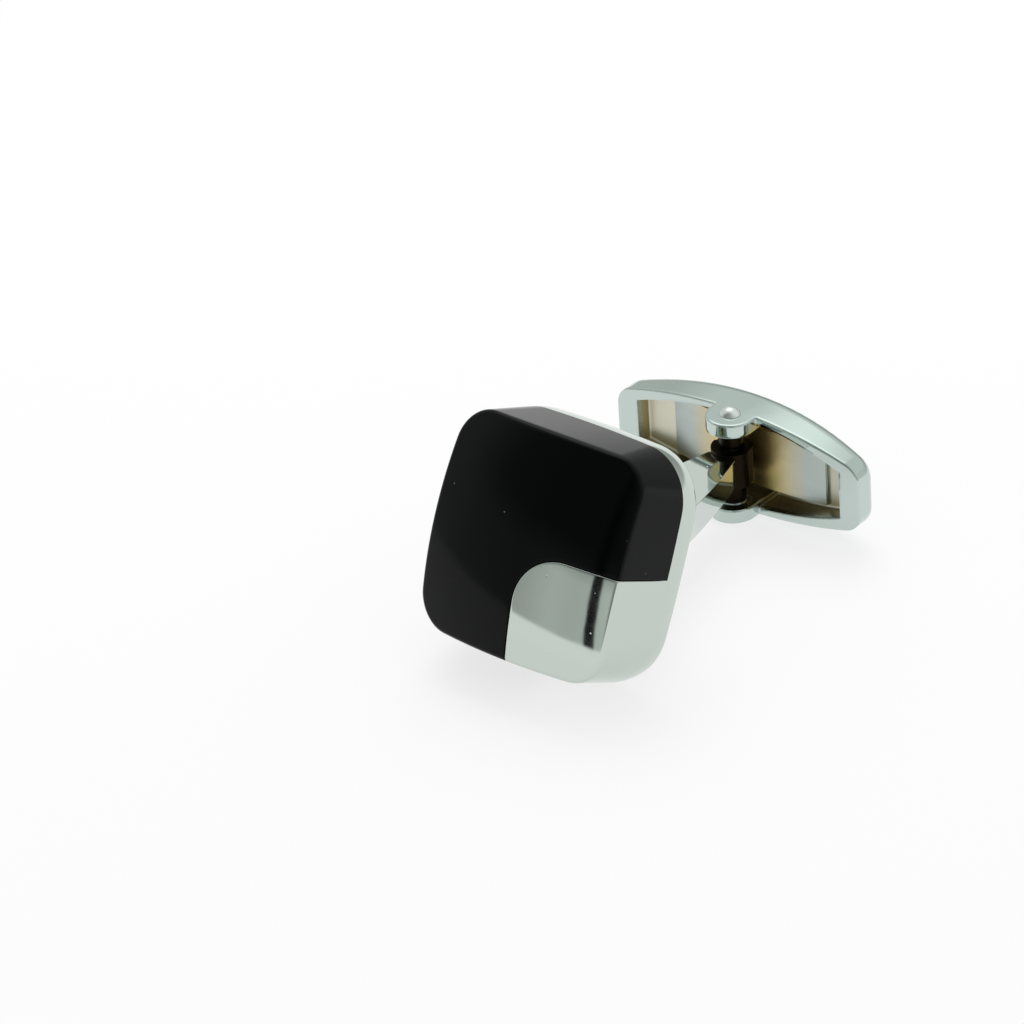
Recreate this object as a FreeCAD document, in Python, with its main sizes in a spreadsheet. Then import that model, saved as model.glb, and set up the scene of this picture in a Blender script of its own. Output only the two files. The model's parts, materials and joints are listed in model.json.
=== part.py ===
import FreeCAD, Part
import math
import os
import Sketcher

# Cufflink: a domed cushion head with a black inlay, a leaning flared post and a sprung swivel bar.
# Millimetres. The finished part lies as on a table, on the lower back edge of its head and on its bar.
FULL_TURN = 360.0
# two places nearer than this are the same place
NEARNESS = 1e-4
# the search for the rest tilt: distance of surface points from the true surface, range and end in degrees
POINT_TOLERANCE = 0.01
STEEPEST_TILT = 60.0
TILT_TOLERANCE = 1e-5

SIZES = {
    # head, measured across its square form
    "back_half": 7.475,
    "back_corner": 3.8,
    "face_half": 6.93,
    "face_corner": 1.95,
    "bow_radius": 105.0,
    "head_depth": 7.0,
    "dome_radius": 28.0,
    "edge_round": 0.35,
    "back_bevel": 0.3,
    "rim_band": 1.6,
    # bright corner of the face
    "corner_left": 0.4,
    "corner_top": 0.0,
    "corner_inner": 3.2,
    "bond_gap": 0.04,
    # post
    "head_lean": 26.0,
    "foot_drop": 1.8,
    "post_length": 15.2,
    "foot_half_width": 3.0,
    "foot_half_height": 1.9,
    "shoulder_half_width": 2.1,
    "shoulder_half_height": 1.0,
    "shoulder_from_pivot": 5.5,
    "neck_half_width": 1.0,
    "neck_half_height": 0.95,
    "neck_from_pivot": 1.0,
    "tenon_radius": 1.2,
    "tenon_length": 1.0,
    "braze_gap": 0.02,
    "knuckle_radius": 1.3,
    "knuckle_flat": 1.2,
    "knuckle_half_height": 1.2,
    "knuckle_side_gap": 0.15,
    # toggle bar
    "bar_half_length": 9.3,
    "bar_half_height": 3.5,
    "bar_end_half_height": 2.05,
    "bar_depth": 2.8,
    "bar_end_depth": 1.6,
    "bar_corner": 1.4,
    "bar_round": 0.8,
    "rim_offset": 0.5,
    "side_wall": 0.4,
    "end_wall": 1.5,
    "back_wall": 0.8,
    "ear_radius": 1.55,
    "ear_thickness": 0.9,
    "boss_radius": 0.8,
    # pin and spring
    "pin_radius": 0.5,
    "pin_fit": 0.01,
    "pin_running": 0.04,
    "rivet_radius": 0.67,
    "rivet_rise": 0.4,
    "spring_thickness": 0.2,
    "spring_half_length": 5.8,
    "spring_half_width": 2.1,
    "spring_clearance": 0.12,
    "spring_seat_gap": 0.02,
    # reach of a cutting outline past the piece that it cuts
    "cut_margin": 5.0,
}

doc = FreeCAD.newDocument("cufflink")
sheet = doc.addObject("Spreadsheet::Sheet", "size")
for row, (alias, value) in enumerate(SIZES.items(), start=1):
    sheet.set(f"A{row}", str(value))
    sheet.setAlias(f"A{row}", alias)
gauge = doc.addObject("App::FeaturePython", "gauge")
gauge.addProperty("App::PropertyFloat", "reading")
doc.recompute()


def number(formula):
    """Value of a formula on the sheet's sizes."""
    gauge.setExpression("reading", formula)
    gauge.recompute()
    return gauge.reading


def new_body(name):
    return doc.addObject("PartDesign::Body", name)


def origin_plane(body, role):
    return next(item for item in body.Origin.OriginFeatures if item.Role == role)


def new_sketch(body, name, role, offset="0", rise="0", lean="0"):
    """Sketch on an origin plane: offset along the normal, rise along its Y axis, leant about its X axis."""
    sketch = body.newObject("Sketcher::SketchObject", name)
    sketch.AttachmentSupport = [(origin_plane(body, role), "")]
    sketch.MapMode = "FlatFace"
    turn = FreeCAD.Rotation(FreeCAD.Vector(1, 0, 0), number(lean))
    sketch.AttachmentOffset = FreeCAD.Placement(FreeCAD.Vector(0, number(rise), number(offset)), turn)
    sketch.setExpression("AttachmentOffset.Base.y", rise)
    sketch.setExpression("AttachmentOffset.Base.z", offset)
    if lean != "0":
        sketch.setExpression("AttachmentOffset.Rotation.Angle", lean)
    return sketch


def bind(sketch, constraint, formula):
    index = sketch.addConstraint(constraint)
    sketch.setExpression(f"Constraints[{index}]", formula)


def arc_between(start, end, radius, side):
    """Minor arc from start to end; side 1 has the centre on the left of the chord, -1 on the right."""
    chord = end - start
    middle = (start + end) * 0.5
    height = math.sqrt(max(radius ** 2 - (chord.Length / 2) ** 2, 0.0))
    left = FreeCAD.Vector(-chord.y, chord.x, 0).normalize()
    crest = middle - left * (side * (radius - height))
    return Part.Arc(start, crest, end)


def draw(sketch, corners, arcs=None):
    """Closed outline through corners, given as pairs of formulas. arcs: stretch number to (radius, side)."""
    arcs = arcs or {}
    places = [FreeCAD.Vector(number(across), number(along), 0) for across, along in corners]
    for index, start in enumerate(places):
        end = places[(index + 1) % len(places)]
        if index in arcs:
            radius, side = arcs[index]
            sketch.addGeometry(arc_between(start, end, number(radius), side), False)
        else:
            sketch.addGeometry(Part.LineSegment(start, end), False)
    first = sketch.GeometryCount - len(places)
    ends = []
    for index, start in enumerate(places):
        first_end, last_end = (sketch.getPoint(first + index, end) for end in (1, 2))
        nearer = first_end.distanceToPoint(start) <= last_end.distanceToPoint(start)
        ends.append((1, 2) if nearer else (2, 1))
    for index, (across, along) in enumerate(corners):
        curve = first + index
        after = (index + 1) % len(corners)
        meeting = (curve, ends[index][1], first + after, ends[after][0])
        sketch.addConstraint(Sketcher.Constraint("Coincident", *meeting))
        here = places[index]
        bind(sketch, Sketcher.Constraint("DistanceX", -1, 1, curve, ends[index][0], here.x), across)
        bind(sketch, Sketcher.Constraint("DistanceY", -1, 1, curve, ends[index][0], here.y), along)
    for index, (radius, side) in arcs.items():
        bind(sketch, Sketcher.Constraint("Radius", first + index, number(radius)), radius)


def draw_circle(sketch, radius, along="0"):
    """Circle on the sketch's Y axis, at a height along it."""
    centre = FreeCAD.Vector(0, number(along), 0)
    curve = sketch.addGeometry(Part.Circle(centre, FreeCAD.Vector(0, 0, 1), number(radius)), False)
    sketch.addConstraint(Sketcher.Constraint("PointOnObject", curve, 3, -2))
    bind(sketch, Sketcher.Constraint("DistanceY", -1, 1, curve, 3, centre.y), along)
    bind(sketch, Sketcher.Constraint("Radius", curve, number(radius)), radius)


def draw_rectangle(sketch, half_width, half_height):
    corners = [(half_width, half_height), (f"-({half_width})", half_height),
               (f"-({half_width})", f"-({half_height})"), (half_width, f"-({half_height})")]
    draw(sketch, corners)


def draw_cushion(sketch, half, corner):
    """Square with four bowed sides that run tangent into four corner arcs."""
    bow = "size.bow_radius"
    inset = f"({bow} - ({half}))"
    middle = f"((sqrt(2 * ({bow} - ({corner}))^2 - {inset}^2) - {inset}) / 2)"
    share = f"(({corner}) / ({bow} - ({corner})))"
    far = f"({middle} + {share} * ({middle} + {inset}))"
    near = f"({middle} + {share} * {middle})"
    corners = [(far, near), (near, far), (f"-{near}", far), (f"-{far}", near),
               (f"-{far}", f"-{near}"), (f"-{near}", f"-{far}"), (near, f"-{far}"), (far, f"-{near}")]
    arcs = {index: ((corner if index % 2 == 0 else bow), 1) for index in range(len(corners))}
    draw(sketch, corners, arcs)


def pad(body, name, sketch, length, midplane=False, reverse=False):
    feature = body.newObject("PartDesign::Pad", name)
    feature.Profile = sketch
    feature.setExpression("Length", length)
    feature.Midplane = midplane
    feature.Reversed = reverse
    doc.recompute()
    return feature


def pocket(body, name, sketch, length=None, midplane=False, reverse=False):
    """Cut along the sketch's normal, through everything where no length is given; it must remove material."""
    before = body.Shape.Volume
    feature = body.newObject("PartDesign::Pocket", name)
    feature.Profile = sketch
    if length is None:
        feature.Type = "ThroughAll"
    else:
        feature.setExpression("Length", length)
    feature.Midplane = midplane
    feature.Reversed = reverse
    doc.recompute()
    if body.Shape.Volume >= before:
        raise RuntimeError(f"{name} removes nothing")
    return feature


def fillet(body, name, base, edges, radius):
    feature = body.newObject("PartDesign::Fillet", name)
    feature.Base = (base, edges)
    feature.setExpression("Radius", radius)
    doc.recompute()
    return feature


def edges_where(shape, test):
    return [f"Edge{index}" for index, edge in enumerate(shape.Edges, start=1) if test(edge)]


def cushion_form(name):
    """Lofted cushion with its back at z = 0, a spherical front towards +z and a rounded front edge."""
    body = new_body(name)
    back = new_sketch(body, name + "_back_outline", "XY_Plane")
    draw_cushion(back, "size.back_half - size.back_bevel", "size.back_corner - size.back_bevel")
    widest = new_sketch(body, name + "_widest_outline", "XY_Plane", "size.back_bevel")
    draw_cushion(widest, "size.back_half", "size.back_corner")
    top = new_sketch(body, name + "_face_outline", "XY_Plane", "size.head_depth")
    draw_cushion(top, "size.face_half", "size.face_corner")
    doc.recompute()
    loft = body.newObject("PartDesign::AdditiveLoft", name + "_sides")
    loft.Profile = back
    loft.Sections = [widest, top]
    loft.Ruled = True
    doc.recompute()
    # the crown's outline stands on the sphere's centre and turns about the sketch's own X axis
    dome = new_sketch(body, name + "_dome", "XZ_Plane", rise="size.head_depth - size.dome_radius")
    reach = "(size.back_half + size.cut_margin)"
    shoulder = f"sqrt(size.dome_radius^2 - {reach}^2)"
    above = "(size.dome_radius + size.cut_margin)"
    draw(dome, [(reach, shoulder), (reach, above), (f"-{reach}", above), (f"-{reach}", shoulder)],
         {3: ("size.dome_radius", -1)})
    before = body.Shape.Volume
    groove = body.newObject("PartDesign::Groove", name + "_crown")
    groove.Profile = dome
    groove.ReferenceAxis = (dome, ["H_Axis"])
    groove.setExpression("Angle", f"2 * asin({reach} / size.dome_radius)")
    groove.Midplane = True
    doc.recompute()
    if body.Shape.Volume >= before:
        raise RuntimeError("the crown removes nothing")
    front = max(groove.Shape.Faces, key=lambda face: face.CenterOfMass.z)
    rim = edges_where(groove.Shape, lambda edge: any(edge.isSame(other) for other in front.Edges))
    fillet(body, name + "_edge", groove, rim, "size.edge_round")
    return body


def corner_outline(sketch, gap, inside):
    """Bright corner's border: up from the lower side, round one inner corner and out to the right side."""
    out = "(size.back_half + size.cut_margin)"
    left = f"(size.corner_left - {gap})"
    top = f"(size.corner_top + {gap})"
    inner = f"(size.corner_inner + {gap})"
    border = [(left, f"-{out}"), (left, f"{top} - {inner}"), (f"{left} + {inner}", top), (out, top)]
    rest = [(out, f"-{out}")] if inside else [(out, out), (f"-{out}", out), (f"-{out}", f"-{out}")]
    draw(sketch, border + rest, {1: (inner, -1)})


def make_head_tray():
    body = cushion_form("head_tray")
    recess = new_sketch(body, "inlay_recess", "XY_Plane", "size.rim_band")
    corner_outline(recess, "0", inside=False)
    pocket(body, "recess", recess, reverse=True)
    socket = new_sketch(body, "socket_outline", "XY_Plane")
    draw_circle(socket, "size.tenon_radius + size.braze_gap", "-size.foot_drop")
    pocket(body, "socket", socket, "size.tenon_length + size.braze_gap", reverse=True)
    return body


def make_black_inlay():
    body = cushion_form("black_inlay")
    corner = new_sketch(body, "corner_cut", "XY_Plane")
    corner_outline(corner, "size.bond_gap", inside=True)
    pocket(body, "corner", corner, reverse=True)
    seat = new_sketch(body, "seat_cut", "XY_Plane", "size.rim_band")
    reach = "(size.back_half + size.cut_margin)"
    draw_rectangle(seat, reach, reach)
    pocket(body, "seat", seat)
    return body


# post, bar, pin and spring share one frame: pivot at the origin, x across, y off the head, z along the pin


def make_post():
    body = new_body("post")
    foot = new_sketch(body, "foot", "XZ_Plane", "size.post_length", lean="-size.head_lean")
    draw_rectangle(foot, "size.foot_half_width", "size.foot_half_height")
    shoulder = new_sketch(body, "shoulder", "XZ_Plane", "size.shoulder_from_pivot")
    draw_rectangle(shoulder, "size.shoulder_half_width", "size.shoulder_half_height")
    neck = new_sketch(body, "neck", "XZ_Plane", "size.neck_from_pivot")
    draw_rectangle(neck, "size.neck_half_width", "size.neck_half_height")
    doc.recompute()
    loft = body.newObject("PartDesign::AdditiveLoft", "flare")
    loft.Profile = foot
    loft.Sections = [shoulder, neck]
    doc.recompute()
    tenon = new_sketch(body, "tenon_outline", "XZ_Plane", "size.post_length", lean="-size.head_lean")
    draw_circle(tenon, "size.tenon_radius")
    pad(body, "tenon", tenon, "size.tenon_length")
    nose = new_sketch(body, "knuckle_outline", "XY_Plane")
    draw_circle(nose, "size.knuckle_radius")
    pad(body, "knuckle", nose, "2 * size.knuckle_half_height", midplane=True)
    flats = new_sketch(body, "knuckle_flats", "XY_Plane")
    out = "(size.knuckle_radius + size.cut_margin)"
    flat = "size.knuckle_flat"
    draw(flats, [(f"-{out}", "0"), (f"-{flat}", "0"), (f"-{flat}", flat), (flat, flat),
                 (flat, "0"), (out, "0"), (out, out), (f"-{out}", out)])
    pocket(body, "flats", flats, midplane=True)
    bore = new_sketch(body, "knuckle_bore", "XY_Plane")
    draw_circle(bore, "size.pin_radius + size.pin_running")
    pocket(body, "bore", bore, midplane=True)
    return body


def lens(sketch, half_length, half_height, end_half_height):
    """Lens outline with blunt ends: two long arcs joined by straight ends."""
    rise = f"(({half_height}) - ({end_half_height}))"
    radius = f"(({half_length})^2 + {rise}^2) / (2 * {rise})"
    corners = [(half_length, f"-({end_half_height})"), (half_length, end_half_height),
               (f"-({half_length})", end_half_height), (f"-({half_length})", f"-({end_half_height})")]
    draw(sketch, corners, {1: (radius, 1), 3: (radius, 1)})


BACK_RISE = "(size.bar_depth - size.bar_end_depth)"
BACK_RADIUS = f"((size.bar_half_length^2 + {BACK_RISE}^2) / (2 * {BACK_RISE}))"
BACK_CENTRE = f"(size.rim_offset + size.bar_depth - {BACK_RADIUS})"


def trim_back(body, name, inset):
    """Trims what lies behind the bar's convex back, or behind a like curve that lies inset from it."""
    sketch = new_sketch(body, name + "_outline", "XY_Plane")
    radius = f"({BACK_RADIUS} - {inset})"
    out = "(size.bar_half_length + size.cut_margin)"
    height = f"({BACK_CENTRE} + sqrt({radius}^2 - {out}^2))"
    behind = f"({BACK_CENTRE} + {BACK_RADIUS} + size.cut_margin)"
    draw(sketch, [(out, height), (out, behind), (f"-{out}", behind), (f"-{out}", height)], {3: (radius, -1)})
    return pocket(body, name, sketch, midplane=True)


def make_toggle_bar():
    shell = new_body("bar_form")
    ear = "size.ear_radius"
    front = f"({ear} + size.cut_margin)"
    outline = new_sketch(shell, "bar_outline", "XZ_Plane", front)
    lens(outline, "size.bar_half_length", "size.bar_half_height", "size.bar_end_half_height")
    block = pad(shell, "bar_block", outline, f"{front} + size.rim_offset + size.bar_depth", reverse=True)
    upright = edges_where(block.Shape, lambda edge: edge.BoundBox.XLength + edge.BoundBox.ZLength < NEARNESS)
    fillet(shell, "bar_corners", block, upright, "size.bar_corner")
    back = trim_back(shell, "bar_back", "0")
    behind = number("size.rim_offset") + NEARNESS
    edges = edges_where(back.Shape, lambda edge: edge.BoundBox.YMin > behind)
    fillet(shell, "bar_back_edges", back, edges, "size.bar_round")
    # the front is cut down to the rim, and an ear stays standing on each long wall
    rim = new_sketch(shell, "rim_outline", "XY_Plane")
    out = "(size.bar_half_length + size.cut_margin)"
    level = "size.rim_offset"
    ahead = f"({front} + size.cut_margin)"
    draw(rim, [(out, level), (ear, level), (ear, "0"), ("0", f"-{ear}"), (f"-{ear}", "0"), (f"-{ear}", level),
               (f"-{out}", level), (f"-{out}", f"-{ahead}"), (out, f"-{ahead}")], {2: (ear, -1), 3: (ear, -1)})
    pocket(shell, "rim", rim, midplane=True)
    bore = new_sketch(shell, "ear_bore", "XY_Plane")
    draw_circle(bore, "size.pin_radius + size.pin_fit")
    pocket(shell, "ear_bores", bore, midplane=True)
    hollow = new_body("bar_hollow")
    mouth = new_sketch(hollow, "hollow_outline", "XZ_Plane", front)
    lens(mouth, "size.bar_half_length - size.end_wall", "size.bar_half_height - size.side_wall",
         "size.bar_end_half_height - size.side_wall")
    pad(hollow, "hollow_block", mouth, f"{front} + size.rim_offset + size.bar_depth", reverse=True)
    trim_back(hollow, "hollow_floor", "size.back_wall")
    # each ear is thicker than the wall that it stands on, and has a boss that meets the knuckle
    ear_face = "size.bar_half_height - size.ear_thickness"
    boss_face = "size.knuckle_half_height + size.knuckle_side_gap"
    root = "(size.rim_offset + size.bar_depth)"
    for name, sign, upper in (("upper", "", True), ("lower", "-", False)):
        cheek = new_sketch(hollow, name + "_ear_outline", "XY_Plane", f"{sign}({ear_face})")
        draw(cheek, [(f"-{ear}", root), (f"-{ear}", "0"), ("0", f"-{ear}"), (ear, "0"), (ear, root)],
             {1: (ear, 1), 2: (ear, 1)})
        pocket(hollow, name + "_ear", cheek, reverse=upper)
        boss = new_sketch(hollow, name + "_boss_outline", "XY_Plane", f"{sign}({boss_face})")
        draw_circle(boss, "size.boss_radius")
        pocket(hollow, name + "_boss", boss, reverse=upper)
    bar = doc.addObject("Part::Cut", "toggle_bar")
    bar.Base = shell
    bar.Tool = hollow
    doc.recompute()
    return bar


def make_pivot_pin():
    body = new_body("pivot_pin")
    profile = new_sketch(body, "pin_profile", "XZ_Plane")
    grip = "size.bar_half_height"
    tip = "(size.bar_half_height + size.rivet_rise)"
    shank = "(size.pin_radius)"
    rivet = "(size.rivet_radius)"
    dome = "((size.rivet_radius^2 + size.rivet_rise^2) / (2 * size.rivet_rise))"
    draw(profile, [("0", f"-{tip}"), (rivet, f"-{grip}"), (shank, f"-{grip}"), (shank, grip),
                   (rivet, grip), ("0", tip)], {0: (dome, 1), 4: (dome, 1)})
    turned = body.newObject("PartDesign::Revolution", "pin_turned")
    turned.Profile = profile
    turned.ReferenceAxis = (profile, ["V_Axis"])
    turned.Angle = FULL_TURN
    doc.recompute()
    return body


def make_leaf_spring():
    """Strip bowed towards the knuckle, with its ends on the hollow's curved floor."""
    body = new_body("leaf_spring")
    profile = new_sketch(body, "spring_profile", "XY_Plane")
    reach = "size.spring_half_length"
    floor = f"({BACK_CENTRE} + sqrt(({BACK_RADIUS} - size.back_wall)^2 - {reach}^2) - size.spring_seat_gap)"
    crest = "(size.knuckle_radius + size.spring_clearance + size.spring_thickness)"
    rise = f"({floor} - {crest})"
    outer = f"(({reach}^2 + {rise}^2) / (2 * {rise}))"
    front = f"({floor} - size.spring_thickness)"
    draw(profile, [(reach, front), (reach, floor), (f"-{reach}", floor), (f"-{reach}", front)],
         {1: (outer, -1), 3: (outer, 1)})
    pad(body, "spring_strip", profile, "2 * size.spring_half_width", midplane=True)
    return body


head = [make_head_tray(), make_black_inlay()]
link = [make_post()]
swivel = [make_toggle_bar(), make_pivot_pin(), make_leaf_spring()]
pieces = head + link + swivel

# the head's back sits on the post's foot, leant about the width axis
lean = FreeCAD.Rotation(FreeCAD.Vector(1, 0, 0), -number("size.head_lean"))
upright = FreeCAD.Rotation(FreeCAD.Vector(1, 0, 0), 90.0)
foot_place = FreeCAD.Vector(0, -number("size.post_length"), 0)
head_centre = foot_place + lean.multVec(FreeCAD.Vector(0, 0, number("size.foot_drop")))
head_place = FreeCAD.Placement(head_centre, lean.multiply(upright))


def lowest(points, tilt):
    """Lowest height of points after a turn by tilt radians about X that lowers the bar."""
    return min(point.z * math.cos(tilt) - point.y * math.sin(tilt) for point in points)


def points_of(items, place):
    return [place.multVec(point) for item in items for point in item.Shape.tessellate(POINT_TOLERANCE)[0]]


# the rest tilt brings the head's lowest edge and the bar's lowest side to one level
head_points = points_of(head, head_place)
bar_points = points_of(swivel, FreeCAD.Placement())
steep = math.radians(STEEPEST_TILT)
shallow = -steep
while steep - shallow > math.radians(TILT_TOLERANCE):
    tilt = (steep + shallow) / 2
    if lowest(bar_points, tilt) > lowest(head_points, tilt):
        shallow = tilt
    else:
        steep = tilt

rest = FreeCAD.Rotation(FreeCAD.Vector(1, 0, 0), -math.degrees(tilt))
settled = [rest.multVec(point) for point in head_points + bar_points]
depth = [point.y for point in settled]
shift = FreeCAD.Vector(0, -(min(depth) + max(depth)) / 2, -min(point.z for point in settled))
rest_place = FreeCAD.Placement(shift, rest)
for piece in pieces:
    piece.Placement = rest_place.multiply(head_place) if piece in head else rest_place
doc.recompute()

for item in doc.Objects:
    if "Invalid" in item.State or "Error" in item.State:
        raise RuntimeError(f"{item.Name} failed: {item.State}")
for piece in pieces:
    if piece.Shape.isNull() or not piece.Shape.isValid() or len(piece.Shape.Solids) != 1:
        raise RuntimeError(f"{piece.Label} is not one valid solid")

os.makedirs("parts", exist_ok=True)
for piece in pieces:
    piece.Shape.exportStep(f"parts/{piece.Label}.step")
    print(piece.Label, "volume", round(piece.Shape.Volume, 3))
axis = rest.multVec(FreeCAD.Vector(0, 0, 1))
print("pivot", [round(value, 4) for value in rest_place.Base], "axis", [round(value, 6) for value in axis])
print("rest tilt", round(math.degrees(tilt), 3))
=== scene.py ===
import json
import math

import bmesh
import bpy
import numpy as np
from mathutils import Matrix, Vector


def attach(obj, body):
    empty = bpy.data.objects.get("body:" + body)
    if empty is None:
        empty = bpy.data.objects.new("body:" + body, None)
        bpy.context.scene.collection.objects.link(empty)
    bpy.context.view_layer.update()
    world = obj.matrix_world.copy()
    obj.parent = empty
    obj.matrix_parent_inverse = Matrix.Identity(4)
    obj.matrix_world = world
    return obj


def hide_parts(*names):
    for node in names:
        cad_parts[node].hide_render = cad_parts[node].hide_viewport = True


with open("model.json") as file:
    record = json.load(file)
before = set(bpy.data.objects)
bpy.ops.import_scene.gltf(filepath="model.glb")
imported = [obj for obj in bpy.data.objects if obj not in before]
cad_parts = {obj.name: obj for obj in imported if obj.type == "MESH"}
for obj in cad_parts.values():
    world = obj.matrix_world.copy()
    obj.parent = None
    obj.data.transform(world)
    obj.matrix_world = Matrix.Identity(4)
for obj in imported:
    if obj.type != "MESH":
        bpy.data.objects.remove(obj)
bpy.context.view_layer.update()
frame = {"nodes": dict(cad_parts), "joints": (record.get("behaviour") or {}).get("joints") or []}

MM = 0.001
QUARTER = math.pi / 2

# head, in millimetres and in its own frame: x right, y up, z from its back to its face
BACK_HALF = 7.475
BACK_CORNER = 3.8
FACE_HALF = 6.93
FACE_CORNER = 1.95
BOW_RADIUS = 105.0
HEAD_DEPTH = 7.0
DOME_RADIUS = 28.0
EDGE_ROUND = 0.35
BACK_BEVEL = 0.3
RIM_BAND = 1.6
CORNER_LEFT = 0.4
CORNER_TOP = 0.0
CORNER_INNER = 3.2
BOND_GAP = 0.04
HEAD_LEAN = math.radians(26.0)
# post's foot, length to the pivot, and socket in the head's back
FOOT_DROP = 1.8
POST_LENGTH = 15.2
SOCKET_RADIUS = 1.22
SOCKET_DEPTH = 1.02
# the rim band curves in towards the back, and its back edge is eased
RIM_CURVE = 0.2
BACK_EASE = 0.1
# rounded edges where the bright corner and the inlay meet; the rounds fade out near the rim
PLATE_ROUND = 0.1
RESIN_ROUND = 0.05
SEAM_FADE = 1.4
# points closer than this are one point, and edges sharper than this stay sharp
MERGE_STEP = 0.0005
SHARP_FROM = math.radians(40)

# how finely the head's skin is divided
SIDE_STEPS = 24
CORNER_STEPS = 8
WALL_ROWS = 14
ROUND_ROWS = 8
CAP_ROWS = 10
RIM_ROWS = 24
SEAM_ROWS = 5
# share of the border's steps in each of its straight runs
STRAIGHT_SHARE = 0.3
# rounds in which the wall's top settles on the dome, and half the height over which its slope is taken
TOP_ROUNDS = 10
SLOPE_STEP = 0.01

# the frame's one joint gives the pivot and the tilt at which the part lies
swivel = frame["joints"][0]
pivot = np.array(swivel["pos_m"]) / MM
pin_way = swivel["axis"]
tilt = math.atan2(pin_way[1], pin_way[2])
head_tilt = tilt + HEAD_LEAN
head_right = np.array([1.0, 0.0, 0.0])
head_up = np.array([0.0, math.sin(head_tilt), math.cos(head_tilt)])
head_front = np.array([0.0, -math.cos(head_tilt), math.sin(head_tilt)])
post_way = np.array([0.0, math.cos(tilt), -math.sin(tilt)])
head_place = pivot - POST_LENGTH * post_way + FOOT_DROP * head_up


def head_to_world(points):
    """Head frame to the part's frame: the back's centre plus x, y and z steps along right, up and front."""
    return head_place + points @ np.array([head_right, head_up, head_front])


# mesh making

def grid_faces(rows, columns, first):
    """Quads of a grid of rows by columns whose points start at number first."""
    number = first + np.arange(rows - 1)[:, None] * columns + np.arange(columns - 1)
    return np.stack([number, number + 1, number + columns + 1, number + columns], axis=-1).reshape(-1, 4)


def build_piece(name, grids, body, nodes, material):
    """One closed mesh from grids in the head's frame: shared borders are merged and faces turned outwards."""
    faces = []
    first = 0
    for grid in grids:
        faces.append(grid_faces(grid.shape[0], grid.shape[1], first))
        first += grid.shape[0] * grid.shape[1]
    points = head_to_world(np.vstack([grid.reshape(-1, 3) for grid in grids]))
    mesh = bpy.data.meshes.new(name)
    mesh.from_pydata((points * MM).tolist(), [], np.vstack(faces).tolist())
    work = bmesh.new()
    work.from_mesh(mesh)
    bmesh.ops.remove_doubles(work, verts=work.verts, dist=MERGE_STEP * MM)
    bmesh.ops.recalc_face_normals(work, faces=work.faces)
    work.to_mesh(mesh)
    work.free()
    mesh.shade_smooth()
    mesh.set_sharp_from_angle(angle=SHARP_FROM)
    mesh.materials.append(material)
    piece = bpy.data.objects.new(name, mesh)
    bpy.context.scene.collection.objects.link(piece)
    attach(piece, body)
    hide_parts(*nodes)


# head: outline and skin

# ends of a stretch, as an angle and a multiple of the side's own half angle
SIDE_LOW = (0.0, -1.0)
SIDE_HIGH = (0.0, 1.0)
CORNER_IN = (0.0, 1.0)
CORNER_MID = (QUARTER / 2, 0.0)
CORNER_OUT = (QUARTER, -1.0)
RIGHT, TOP, LEFT, BOTTOM = range(4)


def side(turn, start, end, steps):
    """Stretch of a bowed side, turned by quarter turns from the right side."""
    return (0, turn, start, end, steps)


def corner(turn, start, end, steps):
    """Stretch of the rounded corner that follows a side."""
    return (1, turn, start, end, steps)


def columns_along(stretches):
    """Columns along stretches of the outline: corner flag, quarter turns, both ends and the part of the way."""
    blocks = []
    for is_corner, turn, start, end, steps in stretches:
        part = np.arange(steps + 1) / steps
        facts = np.array([is_corner, turn, *start, *end], dtype=float)
        blocks.append(np.column_stack([np.tile(facts, (steps + 1, 1)), part]))
    trimmed = [block[:-1] for block in blocks[:-1]] + [blocks[-1]]
    return np.vstack(trimmed).T


def outline(height, columns):
    """Points of the cushion's outline at a height, and its outward directions.

    Each side is an arc of the bow radius; each corner is an arc that touches two sides. The half width and the
    corner's radius change evenly from the widest level to the level of the face.
    """
    is_corner, turn, start, start_share, end, end_share, part = columns
    rise = (height - BACK_BEVEL) / (HEAD_DEPTH - BACK_BEVEL)
    half = BACK_HALF + (FACE_HALF - BACK_HALF) * rise
    radius = BACK_CORNER + (FACE_CORNER - BACK_CORNER) * rise
    inset = BOW_RADIUS - half
    middle = (np.sqrt(2 * (BOW_RADIUS - radius) ** 2 - inset ** 2) - inset) / 2
    half_angle = np.arctan2(middle, middle + inset)
    angle = (start + start_share * half_angle) * (1 - part) + (end + end_share * half_angle) * part
    reach = np.where(is_corner, radius, BOW_RADIUS)
    across = np.where(is_corner, middle, -inset) + reach * np.cos(angle)
    along = np.where(is_corner, middle, 0.0) + reach * np.sin(angle)
    cosine, sine = np.cos(turn * QUARTER), np.sin(turn * QUARTER)
    spot = np.stack([across * cosine - along * sine, across * sine + along * cosine], axis=-1)
    way = np.stack([np.cos(angle + turn * QUARTER), np.sin(angle + turn * QUARTER)], axis=-1)
    return spot, way


def dome_height(spot):
    """Height of the spherical face over a point: the sphere's centre plus the upright side of its triangle."""
    return HEAD_DEPTH - DOME_RADIUS + np.sqrt(DOME_RADIUS ** 2 - (spot ** 2).sum(axis=-1))


def with_height(spot, height):
    """Points across the head with a height as their third number."""
    return np.concatenate([spot, np.broadcast_to(height, spot.shape[:-1])[..., None]], axis=-1)


def unit(vectors):
    """Each vector divided by its length."""
    return vectors / np.linalg.norm(vectors, axis=-1, keepdims=True)


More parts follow.
